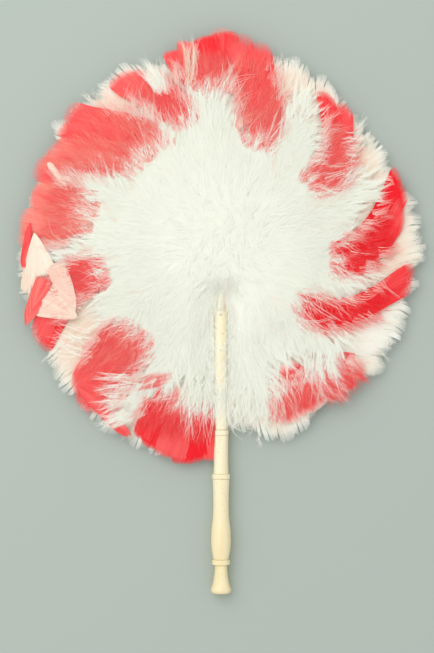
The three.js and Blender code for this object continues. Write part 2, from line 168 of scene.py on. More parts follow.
def nodes_named(start):
    """The names of the CAD nodes that begin so, in order."""
    return sorted(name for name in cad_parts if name.startswith(start))


def smooth_step(value, low, high):
    """0 below low, 1 above high, and 3t^2 - 2t^3 between them."""
    t = np.clip((value - low) / (high - low), 0, 1)
    return t * t * (3 - 2 * t)


def unit(vectors):
    """The same directions at length 1."""
    return vectors / np.maximum(np.linalg.norm(vectors, axis=-1, keepdims=True), 1e-9)


def changed(base, **values):
    """A copy of a look or a line with some values changed."""
    return SimpleNamespace(**{**vars(base), **values})


def on_fan(radius, bearing, height):
    """Points at a radius and bearing (radians, clockwise from +Y) and a height."""
    flat = np.broadcast_arrays(radius * np.sin(bearing), radius * np.cos(bearing), height)
    return np.stack(flat, axis=-1)


# Meshes


def link_object(name, data):
    """A new object in the scene, at the origin."""
    made = bpy.data.objects.new(name, data)
    bpy.context.scene.collection.objects.link(made)
    return made


def add_piece(name, parts, material, replaced=()):
    """Joins parts, each (points in mm, list of face arrays, uv or None), into one object at the origin."""
    points = np.concatenate([part[0] for part in parts])
    starts = np.cumsum([0] + [len(part[0]) for part in parts[:-1]])
    corners = []
    sizes = []
    for part, start in zip(parts, starts):
        for faces in part[1]:
            corners.append((faces + start).ravel())
            sizes.append(np.full(len(faces), faces.shape[1]))
    corners = np.concatenate(corners).astype(np.int32)
    sizes = np.concatenate(sizes).astype(np.int32)
    mesh = bpy.data.meshes.new(name)
    mesh.vertices.add(len(points))
    mesh.vertices.foreach_set("co", (points * MM).astype(np.float32).ravel())
    mesh.loops.add(len(corners))
    mesh.loops.foreach_set("vertex_index", corners)
    mesh.polygons.add(len(sizes))
    mesh.polygons.foreach_set("loop_start", np.concatenate([[0], np.cumsum(sizes)[:-1]]).astype(np.int32))
    mesh.polygons.foreach_set("loop_total", sizes)
    mesh.update(calc_edges=True)
    mesh.polygons.foreach_set("use_smooth", np.ones(len(sizes), bool))
    if parts[0][2] is not None:
        uv = np.concatenate([part[2] for part in parts])
        mesh.uv_layers.new(name="OFBake").data.foreach_set("uv", uv[corners].astype(np.float32).ravel())
    mesh.validate()
    mesh.materials.append(material)
    piece = link_object(name, mesh)
    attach(piece, BODY)
    if replaced:
        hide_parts(*replaced)


def side_axes(paths):
    """Unit vectors square to paths (..., k, 3), one level and one upright."""
    tangent = unit(np.gradient(paths, axis=-2))
    level = unit(np.cross(tangent, [0.0, 0.0, 1.0]))
    return level, np.cross(level, tangent)


def ribbons(paths, widths, twist, along, shade):
    """Tapered ribbons: each path (n, k, 3) is widened to both sides, level at twist 0 and upright at 90.

    The ribbon's texture runs along (n, k) one way and holds its shade (n) the other way.
    """
    level, upright = side_axes(paths)
    turn = np.radians(twist)[:, None, None]
    half = 0.5 * widths[..., None] * (np.cos(turn) * level + np.sin(turn) * upright)
    points = np.stack([paths - half, paths + half], axis=2)
    index = np.arange(points.size // 3).reshape(points.shape[:3])
    quads = np.stack([index[:, :-1, 0], index[:, :-1, 1], index[:, 1:, 1], index[:, 1:, 0]], axis=-1)
    uv = np.empty(points.shape[:3] + (2,))
    uv[..., 0] = np.clip(along, 0.01, 0.99)[..., None]
    uv[..., 1] = np.clip(shade, 0.02, 0.98)[:, None, None] + np.array([-SHADE_STEP, SHADE_STEP])
    return points.reshape(-1, 3), [quads.reshape(-1, 4)], uv.reshape(-1, 2)


def ring_faces(rings, sides):
    """Quads between rings of points, each ring closed on itself."""
    index = np.arange(rings * sides).reshape(rings, sides)
    following = np.roll(index, -1, axis=1)
    return np.stack([index[:-1], following[:-1], following[1:], index[1:]], axis=-1).reshape(-1, 4)


def tube_faces(rings, sides):
    """Quads between rings of points, and a fan over each end round one of the two points that follow."""
    around = np.arange(sides)
    following = np.roll(around, -1)
    centre = np.full(sides, rings * sides)
    last = (rings - 1) * sides
    foot = np.stack([centre, following, around], axis=-1)
    tip = np.stack([centre + 1, last + around, last + following], axis=-1)
    return [ring_faces(rings, sides), foot, tip]


def quill(path, radii, along, shade, sides=6):
    """A round tapered shaft: circles square to the path, closed by a fan of triangles at each end."""
    level, upright = side_axes(path)
    angle = np.linspace(0, 2 * np.pi, sides, endpoint=False)
    circle = np.cos(angle)[None, :, None] * level[:, None] + np.sin(angle)[None, :, None] * upright[:, None]
    points = (path[:, None] + radii[:, None, None] * circle).reshape(-1, 3)
    points = np.concatenate([points, path[:1], path[-1:]])
    uv = np.empty((len(points), 2))
    uv[:-2, 0] = np.repeat(along, sides)
    uv[-2:, 0] = along[[0, -1]]
    uv[:, 1] = shade
    uv[:-2, 1] += np.tile(np.abs(np.linspace(-1, 1, sides)), len(path)) * SHADE_STEP
    return points, tube_faces(len(path), sides), uv


# Materials


def node_of(tree, kind, inputs=None, **settings):
    """The outputs of a new node with these settings, and its inputs linked to sockets or set to values."""
    made = tree.nodes.new(kind)
    for name, value in settings.items():
        setattr(made, name, value)
    for name, value in (inputs or {}).items():
        if isinstance(value, bpy.types.NodeSocket):
            tree.links.new(value, made.inputs[name])
        else:
            made.inputs[name].default_value = value
    return made.outputs


def rgb(red, green, blue):
    """A linear colour from the 0 to 255 values that a picture shows."""
    value = np.array([red, green, blue]) / 255
    linear = np.where(value <= 0.04045, value / 12.92, ((value + 0.055) / 1.055) ** 2.4)
    return (*linear.tolist(), 1.0)


def blank_material(name):
    """A material with no nodes, and its tree."""
    material = bpy.data.materials.new(name)
    material.use_nodes = True
    material.node_tree.nodes.clear()
    return material, material.node_tree


def blank_group(name, inputs, outputs):
    """A node group with the sockets given, from their names to their kinds, and its input sockets."""
    tree = bpy.data.node_groups.new(name, "ShaderNodeTree")
    for way, sockets in (("INPUT", inputs), ("OUTPUT", outputs)):
        for label, kind in sockets.items():
            tree.interface.new_socket(name=label, in_out=way, socket_type="NodeSocket" + kind)
    return tree, tree.nodes.new("NodeGroupInput").outputs


def colour_mix(tree, factor, first, second):
    """A mix of two colours, each a socket or a plain colour."""
    ends = {"Factor": factor, "A": first, "B": second}
    return node_of(tree, "ShaderNodeMix", ends, data_type="RGBA")["Result"]


def ramp_value(tree, value, low, high, to_low=0.0, to_high=1.0):
    """Maps value smoothly from low..high to to_low..to_high; each end is a number or a socket."""
    ends = {"Value": value, "From Min": low, "From Max": high, "To Min": to_low, "To Max": to_high}
    return node_of(tree, "ShaderNodeMapRange", ends, interpolation_type="SMOOTHSTEP")["Result"]


def noise_value(tree, place, scale, detail):
    """Noise at a place."""
    values = {"Vector": place, "Scale": scale, "Detail": detail}
    return node_of(tree, "ShaderNodeTexNoise", values)["Fac"]


def barb_group():
    """Colour of a barb from its place along the plume (u) and its shade (v), with fine streaks."""
    inputs = dict.fromkeys(("Undyed", "Deep", "Middle", "Light"), "Color")
    inputs |= dict.fromkeys(("Dye start", "Dye end", "Streaks"), "Float")
    tree, given = blank_group("barb_colour", inputs, {"Color": "Color", "Roughness": "Float"})
    place = node_of(tree, "ShaderNodeUVMap", uv_map="OFBake")["UV"]
    along, shade, _ = node_of(tree, "ShaderNodeSeparateXYZ", {0: place})
    fine = node_of(tree, "ShaderNodeMapping", {"Vector": place, "Scale": (9, 70, 1)})["Vector"]
    noise = noise_value(tree, fine, 1.0, 3.0)
    centred = node_of(tree, "ShaderNodeMath", {0: noise, 1: 0.5}, operation="SUBTRACT")[0]
    values = {0: centred, 1: given["Streaks"], 2: shade}
    shade = node_of(tree, "ShaderNodeMath", values, operation="MULTIPLY_ADD")[0]
    low = colour_mix(tree, ramp_value(tree, shade, 0.0, 0.5), given["Deep"], given["Middle"])
    tone = colour_mix(tree, ramp_value(tree, shade, 0.5, 1.0), low, given["Light"])
    faded = colour_mix(tree, ramp_value(tree, along, 0.75, 1.0), tone, given["Undyed"])
    dyed = ramp_value(tree, along, given["Dye start"], given["Dye end"])
    colour = colour_mix(tree, dyed, given["Undyed"], faded)
    rough = ramp_value(tree, noise, 0.2, 0.8, 0.5, 0.8)
    node_of(tree, "NodeGroupOutput", {"Color": colour, "Roughness": rough})
    return tree


def feather_material(name, undyed, deep, middle, light, glow, dye=(0.0, 0.1), streaks=0.25):
    """Barbs that scatter light from their face and pass a share of it, glow, through."""
    material, tree = blank_material(name)
    values = {"Undyed": undyed, "Deep": deep, "Middle": middle, "Light": light}
    values |= {"Dye start": dye[0], "Dye end": dye[1], "Streaks": streaks}
    barb = node_of(tree, "ShaderNodeGroup", values, node_tree=BARB_COLOUR)
    values = {"Base Color": barb["Color"], "Roughness": barb["Roughness"]}
    values |= {"Specular IOR Level": 0.2, "Sheen Weight": 0.15}
    face = node_of(tree, "ShaderNodeBsdfPrincipled", values)["BSDF"]
    through = node_of(tree, "ShaderNodeBsdfTranslucent", {"Color": barb["Color"]})["BSDF"]
    both = node_of(tree, "ShaderNodeMixShader", {"Fac": glow, 1: face, 2: through})["Shader"]
    node_of(tree, "ShaderNodeOutputMaterial", {"Surface": both})
    return material


def grain_group():
    """Streaks and specks on Object coordinates: long streaks along Y, dark specks, and a bump height."""
    scales = dict.fromkeys(("Streak scale", "Speck scale"), "Float")
    tree, given = blank_group("grain", scales, dict.fromkeys(("Streaks", "Specks", "Height"), "Float"))
    place = node_of(tree, "ShaderNodeTexCoord")["Object"]
    long = node_of(tree, "ShaderNodeMapping", {"Vector": place, "Scale": (1, 0.06, 1)})["Vector"]
    streaks = noise_value(tree, long, given["Streak scale"], 5.0)
    specks = noise_value(tree, place, given["Speck scale"], 6.0)
    values = {"Streaks": ramp_value(tree, streaks, 0.35, 0.7), "Specks": ramp_value(tree, specks, 0.6, 0.72)}
    height = node_of(tree, "ShaderNodeMath", {0: streaks, 1: 0.6, 2: specks}, operation="MULTIPLY_ADD")
    node_of(tree, "NodeGroupOutput", values | {"Height": height[0]})
    return tree


def grained_material(name, ground, streak, speck, scales, rough, bump, metal=0.0, aged=None):
    """A hard surface: streaks and specks over its ground colour, and yellowing towards its lower end."""
    material, tree = blank_material(name)
    values = {"Streak scale": scales[0], "Speck scale": scales[1]}
    grain = node_of(tree, "ShaderNodeGroup", values, node_tree=GRAIN)
    if aged:
        yellow, low, high = aged
        place = node_of(tree, "ShaderNodeTexCoord")["Object"]
        along = node_of(tree, "ShaderNodeSeparateXYZ", {0: place})[1]
        ground = colour_mix(tree, ramp_value(tree, along, low * MM, high * MM, 1.0, 0.0), ground, yellow)
    streaked = colour_mix(tree, grain["Streaks"], ground, streak)
    values = {"Strength": bump, "Distance": 0.1 * MM, "Height": grain["Height"]}
    normal = node_of(tree, "ShaderNodeBump", values)["Normal"]
    values = {"Base Color": colour_mix(tree, grain["Specks"], streaked, speck), "Metallic": metal}
    values |= {"Roughness": ramp_value(tree, grain["Streaks"], 0, 1, *rough), "Normal": normal}
    face = node_of(tree, "ShaderNodeBsdfPrincipled", values)["BSDF"]
    node_of(tree, "ShaderNodeOutputMaterial", {"Surface": face})
    return material


BARB_COLOUR = barb_group()
GRAIN = grain_group()
RED_BARBS = feather_material(
    "red_dyed_barbs",
    undyed=rgb(255, 226, 214), deep=rgb(252, 24, 40), middle=rgb(255, 98, 97), light=rgb(255, 156, 140),
    dye=(0.04, 0.22), streaks=0.4, glow=0.1,
)
WHITE_BARBS = feather_material(
    "white_barbs",
    undyed=rgb(250, 252, 242), deep=rgb(252, 214, 196), middle=rgb(253, 238, 217), light=rgb(254, 252, 240),
    glow=0.1,
)
DOWN_BARBS = feather_material(
    "white_down_barbs",
    undyed=rgb(253, 255, 244), deep=rgb(255, 212, 200), middle=rgb(252, 255, 241), light=rgb(254, 255, 245),
    streaks=0.12, glow=0.04,
)
BONE = grained_material(
    "polished_bone",
    ground=rgb(254, 246, 216), streak=rgb(248, 234, 192), speck=rgb(238, 216, 166),
    scales=(260, 480), rough=(0.32, 0.46), bump=0.12, aged=(rgb(243, 224, 168), -232, -120),
)
PIN_METAL = grained_material(
    "dull_pin_metal",
    ground=rgb(212, 200, 164), streak=rgb(196, 182, 144), speck=rgb(160, 144, 108),
    scales=(900, 2600), rough=(0.45, 0.65), bump=0.2, metal=0.3,
)
CARD = grained_material(
    "pasteboard",
    ground=rgb(222, 208, 176), streak=rgb(208, 192, 158), speck=rgb(186, 168, 132),
    scales=(420, 1400), rough=(0.8, 0.95), bump=0.3,
)


# Handle


def turned_profile(node):
    """Height along Y and outer radius of a turned piece, from its CAD section, without its bore or spigot."""
    points = node_points(node)
    radius = np.hypot(points[:, 0], points[:, 2] - HANDLE_AXIS)
    keep = radius > SPIGOT_LIMIT
    along = points[keep, 1].round(2)
    places = np.unique(along)
    return places, np.array([radius[keep][along == place].max() for place in places])


def stem_profile():
    """The stem's outer profile: its long taper, the step at the shoulder, and a narrower tip, rounded off."""
    places, radius = turned_profile("slotted_stem")
    shoulder = STEM_TIP - STEM_TIP_LENGTH
    taper = np.linspace(places[0], shoulder - STEM_EDGE, 60)
    full = np.interp(taper, places, radius)
    bend = np.linspace(0, np.pi / 2, 12)
    tip = STEM_TIP_RADII[1]
    y = np.concatenate([taper, [shoulder, shoulder], STEM_TIP - tip + tip * np.sin(bend)])
    r = np.concatenate([full, [full[-1] - STEM_EDGE, STEM_TIP_RADII[0]], tip * np.cos(bend)])
    return y, r


def closed_loft(rings):
    """Rings of points (n, sides, 3) joined by quads, with a fan of triangles over each end."""
    count, sides = rings.shape[:2]
    points = np.concatenate([rings.reshape(-1, 3), rings[[0, -1]].mean(axis=1)])
    return points, [faces[:, ::-1] for faces in tube_faces(count, sides)], None


def round_rings(y, radius, sides=72):
    """Circles of the given radius round the handle's axis, at heights y."""
    angle = np.linspace(0, 2 * np.pi, sides, endpoint=False)
    x = radius[:, None] * np.cos(angle)
    z = HANDLE_AXIS + radius[:, None] * np.sin(angle)
    return np.stack([x, np.broadcast_to(y[:, None], x.shape), z], axis=-1)


def turned_piece(node, steps=90):
    """A turned piece: its outer profile, in even steps, carried round the handle's axis."""
    places, radius = turned_profile(node)
    run = np.concatenate([[0], np.cumsum(np.hypot(np.diff(places), np.diff(radius)))])
    fine = np.linspace(0, run[-1], steps)
    rings = round_rings(np.interp(fine, run, places), np.interp(fine, run, radius))
    add_piece(node + "_turned", [closed_loft(rings)], BONE, [node])


def stem_piece():
    """The stem: a solid root, and two cheeks whose round sections are flattened on the slot's faces."""
    y, radius = STEM_PROFILE
    root = y < SLOT_END
    end = radius[~root][0]
    parts = [closed_loft(round_rings(np.append(y[root], SLOT_END), np.append(radius[root], end)))]
    for side in (1, -1):
        rings = round_rings(np.insert(y[~root], 0, SLOT_END), np.insert(radius[~root], 0, end))
        rings[..., 2] = HANDLE_AXIS + side * np.maximum(side * (rings[..., 2] - HANDLE_AXIS), SLOT_HALF)
        parts.append(closed_loft(rings))
    add_piece("slotted_stem_turned", parts, BONE, ["slotted_stem"])


def dress_handle():
    """The handle's pieces in bone, and materials for the pins and the card, which show as they are."""
    for node in ("handle_foot", "lower_collar", "grip", "upper_collar", "shank", "neck_bead"):
        turned_piece(node)
    stem_piece()
    for node in nodes_named("stem_pin") + ["card_disc"]:
        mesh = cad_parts[node].data
        mesh.materials.clear()
        mesh.materials.append(CARD if node == "card_disc" else PIN_METAL)


STEM_PROFILE = stem_profile()


# Feathers


def feather_line(node, side):
    """The shaft of a CAD feather, section by section: its radius, bearing and height.

    The sections are rings of points at one radius; the shaft is the highest point on the side it faces.
    """
    points = node_points(node)
    radius = np.hypot(points[:, 0], points[:, 1])
    bearing = np.arctan2(points[:, 0], points[:, 1])
    middle = np.angle(np.exp(1j * bearing).sum())
    bearing = middle + np.angle(np.exp(1j * (bearing - middle)))
    order = np.argsort(radius)
    sections = np.split(order, np.flatnonzero(np.diff(radius[order]) > 0.05) + 1)
    shafts = [section[np.argmax(points[section, 2] * side)] for section in sections]
    return SimpleNamespace(
        radius=radius[shafts], bearing=bearing[shafts], height=points[shafts, 2],
        reach=radius.max(), side=side, hand=np.sign(np.sin(middle)),
    )


def bowed(line, bow, swing):
    """The same shaft, its middle turned clockwise by bow degrees along half a sine wave, its tip by swing."""
    share = np.clip((line.radius - BOW_START) / (line.reach - BOW_START), 0, 1)
    turn = np.radians(bow) * np.sin(np.pi * share) + np.radians(swing) * share
    return changed(line, bearing=line.bearing + turn)


def part_at_stem(paths, sign):
    """Combs strands off the stem: below its tip, each stays on its own side (sign), beside the stem."""
    x, y = paths[..., 0], paths[..., 1]
    half = STEM_COVER * np.maximum(np.interp(y, *STEM_PROFILE), STEM_TIP_RADII[1])
    beside = sign * np.maximum(sign * x, half)
    paths[..., 0] = x + (beside - x) * smooth_step(-y, -STEM_TIP - 6, -STEM_TIP)
    return paths


def on_feather(line, radius, across, lift):
    """Points at a radius, at a distance across from the shaft, lifted off the shaft's own height."""
    bearing = np.interp(radius, line.radius, line.bearing)
    height = np.interp(radius, line.radius, line.height)
    return on_fan(radius, bearing + across / radius, height + lift * line.side)


def outline(start, reach, half, blunt, flare):
    """A vane's edge from root to tip: the share of its run, its radius and its half width.

    The half width is half * s^flare * sqrt(1 - s^blunt), at a share s of the vane's length.
    """
    share = 1 - (1 - np.linspace(0, 1, 400)) ** 2
    radius = start + (reach - start) * share
    width = half * share**flare * np.sqrt(1 - share**blunt)
    arc = np.concatenate([[0], np.cumsum(np.hypot(np.diff(radius), np.diff(width)))])
    return arc / arc[-1], radius, width


def vane(place, rng, look):
    """Barbs on both sides of a shaft, each a bent line that sweeps from the shaft out to the vane's edge.

    Neighbouring barbs hold together in clumps, and near its end a clump draws together, which opens the
    splits between clumps. The vane's tip is cut aslant by skew. The shade of a barb follows its clump. place
    turns a distance along the shaft, a distance across it and a lift into a point.
    """
    count, clumps = look.barbs, look.clumps
    start, reach = look.start, look.reach
    side = np.repeat([0, 1], count)
    sign = side * 2.0 - 1
    order = np.tile((np.arange(count) + 0.5) / count, 2)
    phase = rng.random(2)[side] * 2 * np.pi
    warped = order + CLUMP_WAVE / clumps * np.sin(2 * np.pi * 0.31 * clumps * order + phase)
    clump = np.clip((warped * clumps).astype(int), 0, clumps - 1)
    centre = (clump + 0.5) / clumps
    draws = rng.random((4, 2, clumps))[:, side, clump]
    end_order = order + look.split * draws[0] ** look.hold * (centre - order)
    length = 1 - look.fray * (0.7 * draws[1] + 0.3 * rng.random(2 * count) ** 3)
    root = start + (reach - start) * look.sweep * order
    arc, edge_radius, edge_width = outline(start, reach, look.half, look.blunt, look.flare)
    ends = FIRST_BARB + (1 - FIRST_BARB) * np.stack([order, end_order])[..., None]
    end_across = np.interp(ends, arc, edge_width)
    end_radius = np.interp(ends, arc, edge_radius) + look.skew * sign[:, None] * end_across
    t = np.linspace(0, 1, BARB_STEPS)[None] * length[:, None]
    root = root[:, None]
    bend_radius = root + BARB_BEND[0] * (end_radius[0] - root)
    radius = (1 - t) ** 2 * root + 2 * t * (1 - t) * bend_radius + t**2 * end_radius[0]
    radius = radius + t**4 * (end_radius[1] - end_radius[0])
    across = 2 * t * (1 - t) * BARB_BEND[1] * end_across[0] + t**2 * end_across[0]
    across = sign[:, None] * (across + t**4 * (end_across[1] - end_across[0]))
    share = across / look.half
    lift = look.level - VANE_CAMBER * share**2 + look.roll * share
    lift = lift + t**2 * (look.curl * (draws[2] - 0.5) * 2)[:, None]
    paths = place(radius, across, lift)
    taper = np.linspace(1, 0.75, BARB_STEPS)
    taper[-1] = 0.2
    widths = look.barb_width * taper[None] * np.ones_like(t)
    along = look.dye_start + (look.dye_end - look.dye_start) * (radius - start) / (reach - start)
    shade = look.shade + look.clump_shade * (draws[3] - 0.5) + 0.05 * rng.standard_normal(2 * count)
    return ribbons(paths, widths, sign * look.twist, along, shade)


def shaft(place, look):
    """A round shaft that thins to its tip."""
    t = np.linspace(0, 1, 16)
    radius = look.start + (look.reach * 0.95 - look.start) * t
    path = place(radius, 0 * radius, look.level - 0.45 + 0 * radius)
    along = look.dye_start + (look.dye_end - look.dye_start) * (0.03 + 0.9 * t)
    return quill(path, 0.5 * (1 - t) + 0.12, along, look.shade + 0.12)


def bunch(line, rng, look):
    """Overlapping vanes side by side on one feather: each has its own place, length, tip, tilt and shade.

    Across the bunch the vanes lie about evenly, parallel towards the rim and gathered towards the root.
    Slant shortens them towards one edge of the bunch.
    """
    wide = np.radians(look.span) * line.reach
    half = look.half
    start = look.start
    count = max(2, int(round((wide - 2 * half) / (look.gap * half))) + 1)
    places = np.linspace(-0.5, 0.5, count) * (wide - 1.7 * half) + 0.12 * half * rng.standard_normal(count)
    parts = []
    for layer, offset in enumerate(places[np.argsort(np.abs(places) + half * rng.random(count))]):
        turn = look.turn * rng.standard_normal()
        one = changed(look)
        one.half = half * rng.uniform(0.85, 1.15)
        one.reach = line.reach * look.share * (1 - look.uneven * rng.random())
        one.reach *= 1 - max(look.slant * offset / wide, 0)
        one.level = look.level - look.drop * layer / count
        one.roll = look.roll * rng.uniform(-1, 1)
        one.skew = look.skew * rng.uniform(-1, 1)
        one.blunt = look.blunt * rng.uniform(0.6, 1.4)
        one.shade = look.shade + look.vane_shade * rng.uniform(-1, 1)

        def place(radius, across, lift, offset=offset, turn=turn):
            gather = 0.5 + 0.5 * smooth_step(radius, start, start + 0.7 * (line.reach - start))
            sideways = offset * gather + turn * (radius - 100)
            points = part_at_stem(on_feather(line, radius, sideways + across, lift), line.hand)
            if line.side > 0:
                points[..., 2] = np.minimum(points[..., 2], face_height(points[..., 0], points[..., 1]) - 0.4)
            return points

        parts.append(vane(place, rng, one))
        parts.append(shaft(place, one))
    return parts


# The look of a bunch: its vanes' lengths, widths and places, their barbs, their colour, and how they lie
OUTER_LOOK = SimpleNamespace(
    start=48, share=1.03, uneven=0.07, slant=0.0, skew=0.35, half=11, gap=0.8, turn=0.06,
    barbs=90, clumps=9, sweep=0.7, split=0.6, hold=4, fray=0.05, blunt=11, flare=0.45, barb_width=0.66,
    dye_start=0.0, dye_end=0.72, shade=0.5, vane_shade=0.2, clump_shade=0.12,
    level=0.3, drop=1.5, roll=0.7, curl=0.35, twist=7,
)
# Red vanes differ widely in tone from one to the next: partly their dye, partly painted light and shade for
# their folded, overlapping facets
RED_LOOK = changed(OUTER_LOOK, half=10.5, split=0.2, hold=5, blunt=34, vane_shade=0.32)
WHITE_LOOK = changed(
    OUTER_LOOK, half=12, uneven=0.05, clumps=13, split=0.7, hold=2.5, fray=0.12, clump_shade=0.24,
    dye_end=0.97,
)
COVERT_LOOK = changed(
    OUTER_LOOK, span=12, start=40, clumps=20, hold=1, fray=0.4, blunt=5, shade=0.9, vane_shade=0.1
)
BACK_LOOK = changed(WHITE_LOOK, start=42, share=1.0, shade=0.75)


# Wisps


def wisps(root, heading, length, spread, strands, rng, height, look):
    """Pointed wisps: strands side by side at the root that run together at the tip.

    A wisp starts at root (n, 2) along its heading and bends on an arc of its length that turns by twice its
    bend, in radians. height gives the surface under any place, and each strand lies on it with a lift of
    its own.
    """
    count = len(root)
    t = np.linspace(0, 1, look.steps)[None, None]
    offset = (np.linspace(-0.5, 0.5, strands)[None] + 0.12 * rng.standard_normal((count, strands)))[..., None]
    share = (0.72 + 0.28 * rng.random((count, strands)))[..., None]
    turn = 2 * (look.hook + look.bend * rng.standard_normal(count))[:, None, None]
    turn = np.where(np.abs(turn) < 0.001, 0.001, turn)
    curve = length[:, None, None] / turn
    curl = look.wave * rng.standard_normal((count, strands))[..., None]
    aside = spread[:, None, None] * offset * (1 - look.point * t) + curl * np.sin(np.pi * 1.5 * t) * t
    turned = turn * share * t
    forward = curve * np.sin(turned) - aside * np.sin(turned)
    sideways = curve * (1 - np.cos(turned)) + aside * np.cos(turned)
    sine = np.sin(heading)[:, None, None]
    cosine = np.cos(heading)[:, None, None]
    x = root[:, 0, None, None] + forward * sine + sideways * cosine
    y = root[:, 1, None, None] + forward * cosine - sideways * sine
    lift = look.lift * rng.random((count, strands))[..., None] ** 5 * np.sin(np.pi * (0.15 + 0.8 * t))
    z = height(x, y) + look.level + lift
    shape = (count * strands, look.steps)
    paths = np.stack([x, y, z], axis=-1).reshape(*shape, 3)
    if look.parted:
        paths = part_at_stem(paths, np.where(paths[..., 0].mean(axis=1) < 0, -1, 1)[:, None])
    widths = look.width * (1 - 0.82 * t**2) * np.ones((count, strands, 1))
    shade = np.reshape(look.shade, (-1, 1)) + look.wisp_shade * rng.standard_normal((count, 1))
    shade = shade + 0.05 * rng.standard_normal((count, strands))
    along = np.broadcast_to(look.dye[0] + (look.dye[1] - look.dye[0]) * t, forward.shape)
    twist = look.twist * (rng.random(count * strands) - 0.5)
    return ribbons(paths, widths.reshape(shape), twist, along.reshape(shape), shade.ravel())


RED_LINES = [
    bowed(feather_line(node, 1), *row[2:4]) for node, row in zip(nodes_named("red_feather"), RED_BUNCHES)
]
COVERT_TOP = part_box("covert_feather_01")[1].z / MM
RED_TOP = max(line.height.max() for line in RED_LINES)


def near_stem(x, y):
    """1 over the stem, falling to 0 some way to its sides and ahead of its tip."""
    aside = np.maximum(np.abs(x) - TRENCH_FLOOR, 0) / TRENCH_SLOPE
    return np.exp(-(aside**2)) * smooth_step(-y, -STEM_TIP - HOLLOW_AHEAD, -STEM_TIP + HOLLOW_BEHIND)


def face_height(x, y):
    """The top of the fan's face: the heart's low dome, then the coverts, then the red vanes' droop.

    It sinks round the stem, which stands out of it.
    """
    radius = np.hypot(x, y)
    dome = COVERT_TOP + HEART_HEIGHT * np.sqrt(np.clip(1 - (radius / HEART_RADIUS) ** 2, 0, 1))
    outer = RED_TOP + RED_LOFT - RED_DROOP * np.maximum(0, radius - DROOP_START) ** 2
    height = dome + (outer - dome) * smooth_step(radius, HEART_RADIUS - 8, HEART_RADIUS + 26)
    return height + (STEM_TOP - STEM_SHOWN - height) * near_stem(x, y)


def over_stem(x, y):
    """The fan's face, or the stem's round top where that is higher."""
    half = np.interp(y, *STEM_PROFILE)
    round_top = HANDLE_AXIS + np.sqrt(np.maximum(half**2 - x**2, 0))
    return np.maximum(face_height(x, y), round_top + 0.2)


def back_height(x, y):
    """The underside of the fan: a shallow pillow pressed flat on the table."""
    return 0.35 + 3.6 * smooth_step(np.hypot(x, y), BACK_RADIUS - 26, BACK_RADIUS + 4)


def red_cover(x, y, apart_from=None):
    """How fully a red bunch shows at a place: 1 inside its shape and 0 outside, with a soft border.

    A bunch's shape narrows towards its inner end. One bunch can be left out by its line.
    """
    radius = np.hypot(x, y)
    bearing = np.arctan2(x, y)
    cover = np.zeros(np.shape(radius))
    for line, (inner, span, *_) in zip(RED_LINES, RED_BUNCHES):
        if line is apart_from:
            continue
        middle = np.interp(radius, line.radius, line.bearing)
        away = radius * np.abs(np.angle(np.exp(1j * (bearing - middle))))
        narrow = 0.72 + 0.28 * smooth_step(radius, inner - 5, inner + 26)
        half = 0.5 * np.radians(span) * line.reach * narrow
        across = 1 - smooth_step(away, half - 5, half + 2)
        cover = np.maximum(cover, across * smooth_step(radius, inner - 7, inner + 7))
    return cover


def off_red(root, heading, length, rng):
    """Which wisps to keep: fewer of them the more fully a red bunch shows where they end."""
    end = root + length[:, None] * np.stack([np.sin(heading), np.cos(heading)], axis=-1)
    return np.flatnonzero(rng.random(len(root)) > 0.995 * red_cover(*end.T[:2]))


# The look of wisps: their bends, their strands, how they lie, and their colour
FRINGE_LOOK = SimpleNamespace(
    steps=7, hook=0.0, bend=0.2, wave=1.3, point=0.7, spread=(1.0, 2.6), width=0.24,
    level=0.15, lift=1.6, twist=24, parted=True, shade=0.8, wisp_shade=0.08, dye=(0.05, 0.95),
)
HAIR_LOOK = changed(FRINGE_LOOK, level=0.3, bend=0.3, width=0.17, wisp_shade=0.12)
COVERT_WISPS = changed(FRINGE_LOOK, level=0.3, bend=0.26, width=0.2, shade=0.85, wisp_shade=0.14)
RED_FLUFF = changed(FRINGE_LOOK, level=0.2, lift=1.0, bend=0.14, width=0.2, wisp_shade=0.1, dye=(0.1, 0.4))
RED_FUZZ = changed(RED_FLUFF, level=0.5, width=0.16, wisp_shade=0.16, dye=(0.2, 0.5), spread=(3, 7))
RED_FLANKS = changed(HAIR_LOOK, level=0.8, shade=0.7, dye=(0.02, 0.16), spread=(2.5, 6))
RIM_HAIRS = changed(HAIR_LOOK, level=-2.0, shade=0.75)
HEART_LOOK = changed(FRINGE_LOOK, lift=0.8, wave=1.4, shade=0.85, bend=0.14, wisp_shade=0.04, twist=14)
BACK_DOWN_LOOK = changed(FRINGE_LOOK, lift=0.0, wave=1.4, width=0.36, shade=0.75)
# Curled wisps vary widely in tone, some turning pinkish: partly their own tint, partly painted shade that
# makes the curls stand out
CURL_LOOK = changed(
    FRINGE_LOOK, steps=9, level=0.7, lift=2.4, wave=1.2, width=0.2, point=0.6, wisp_shade=0.25
)


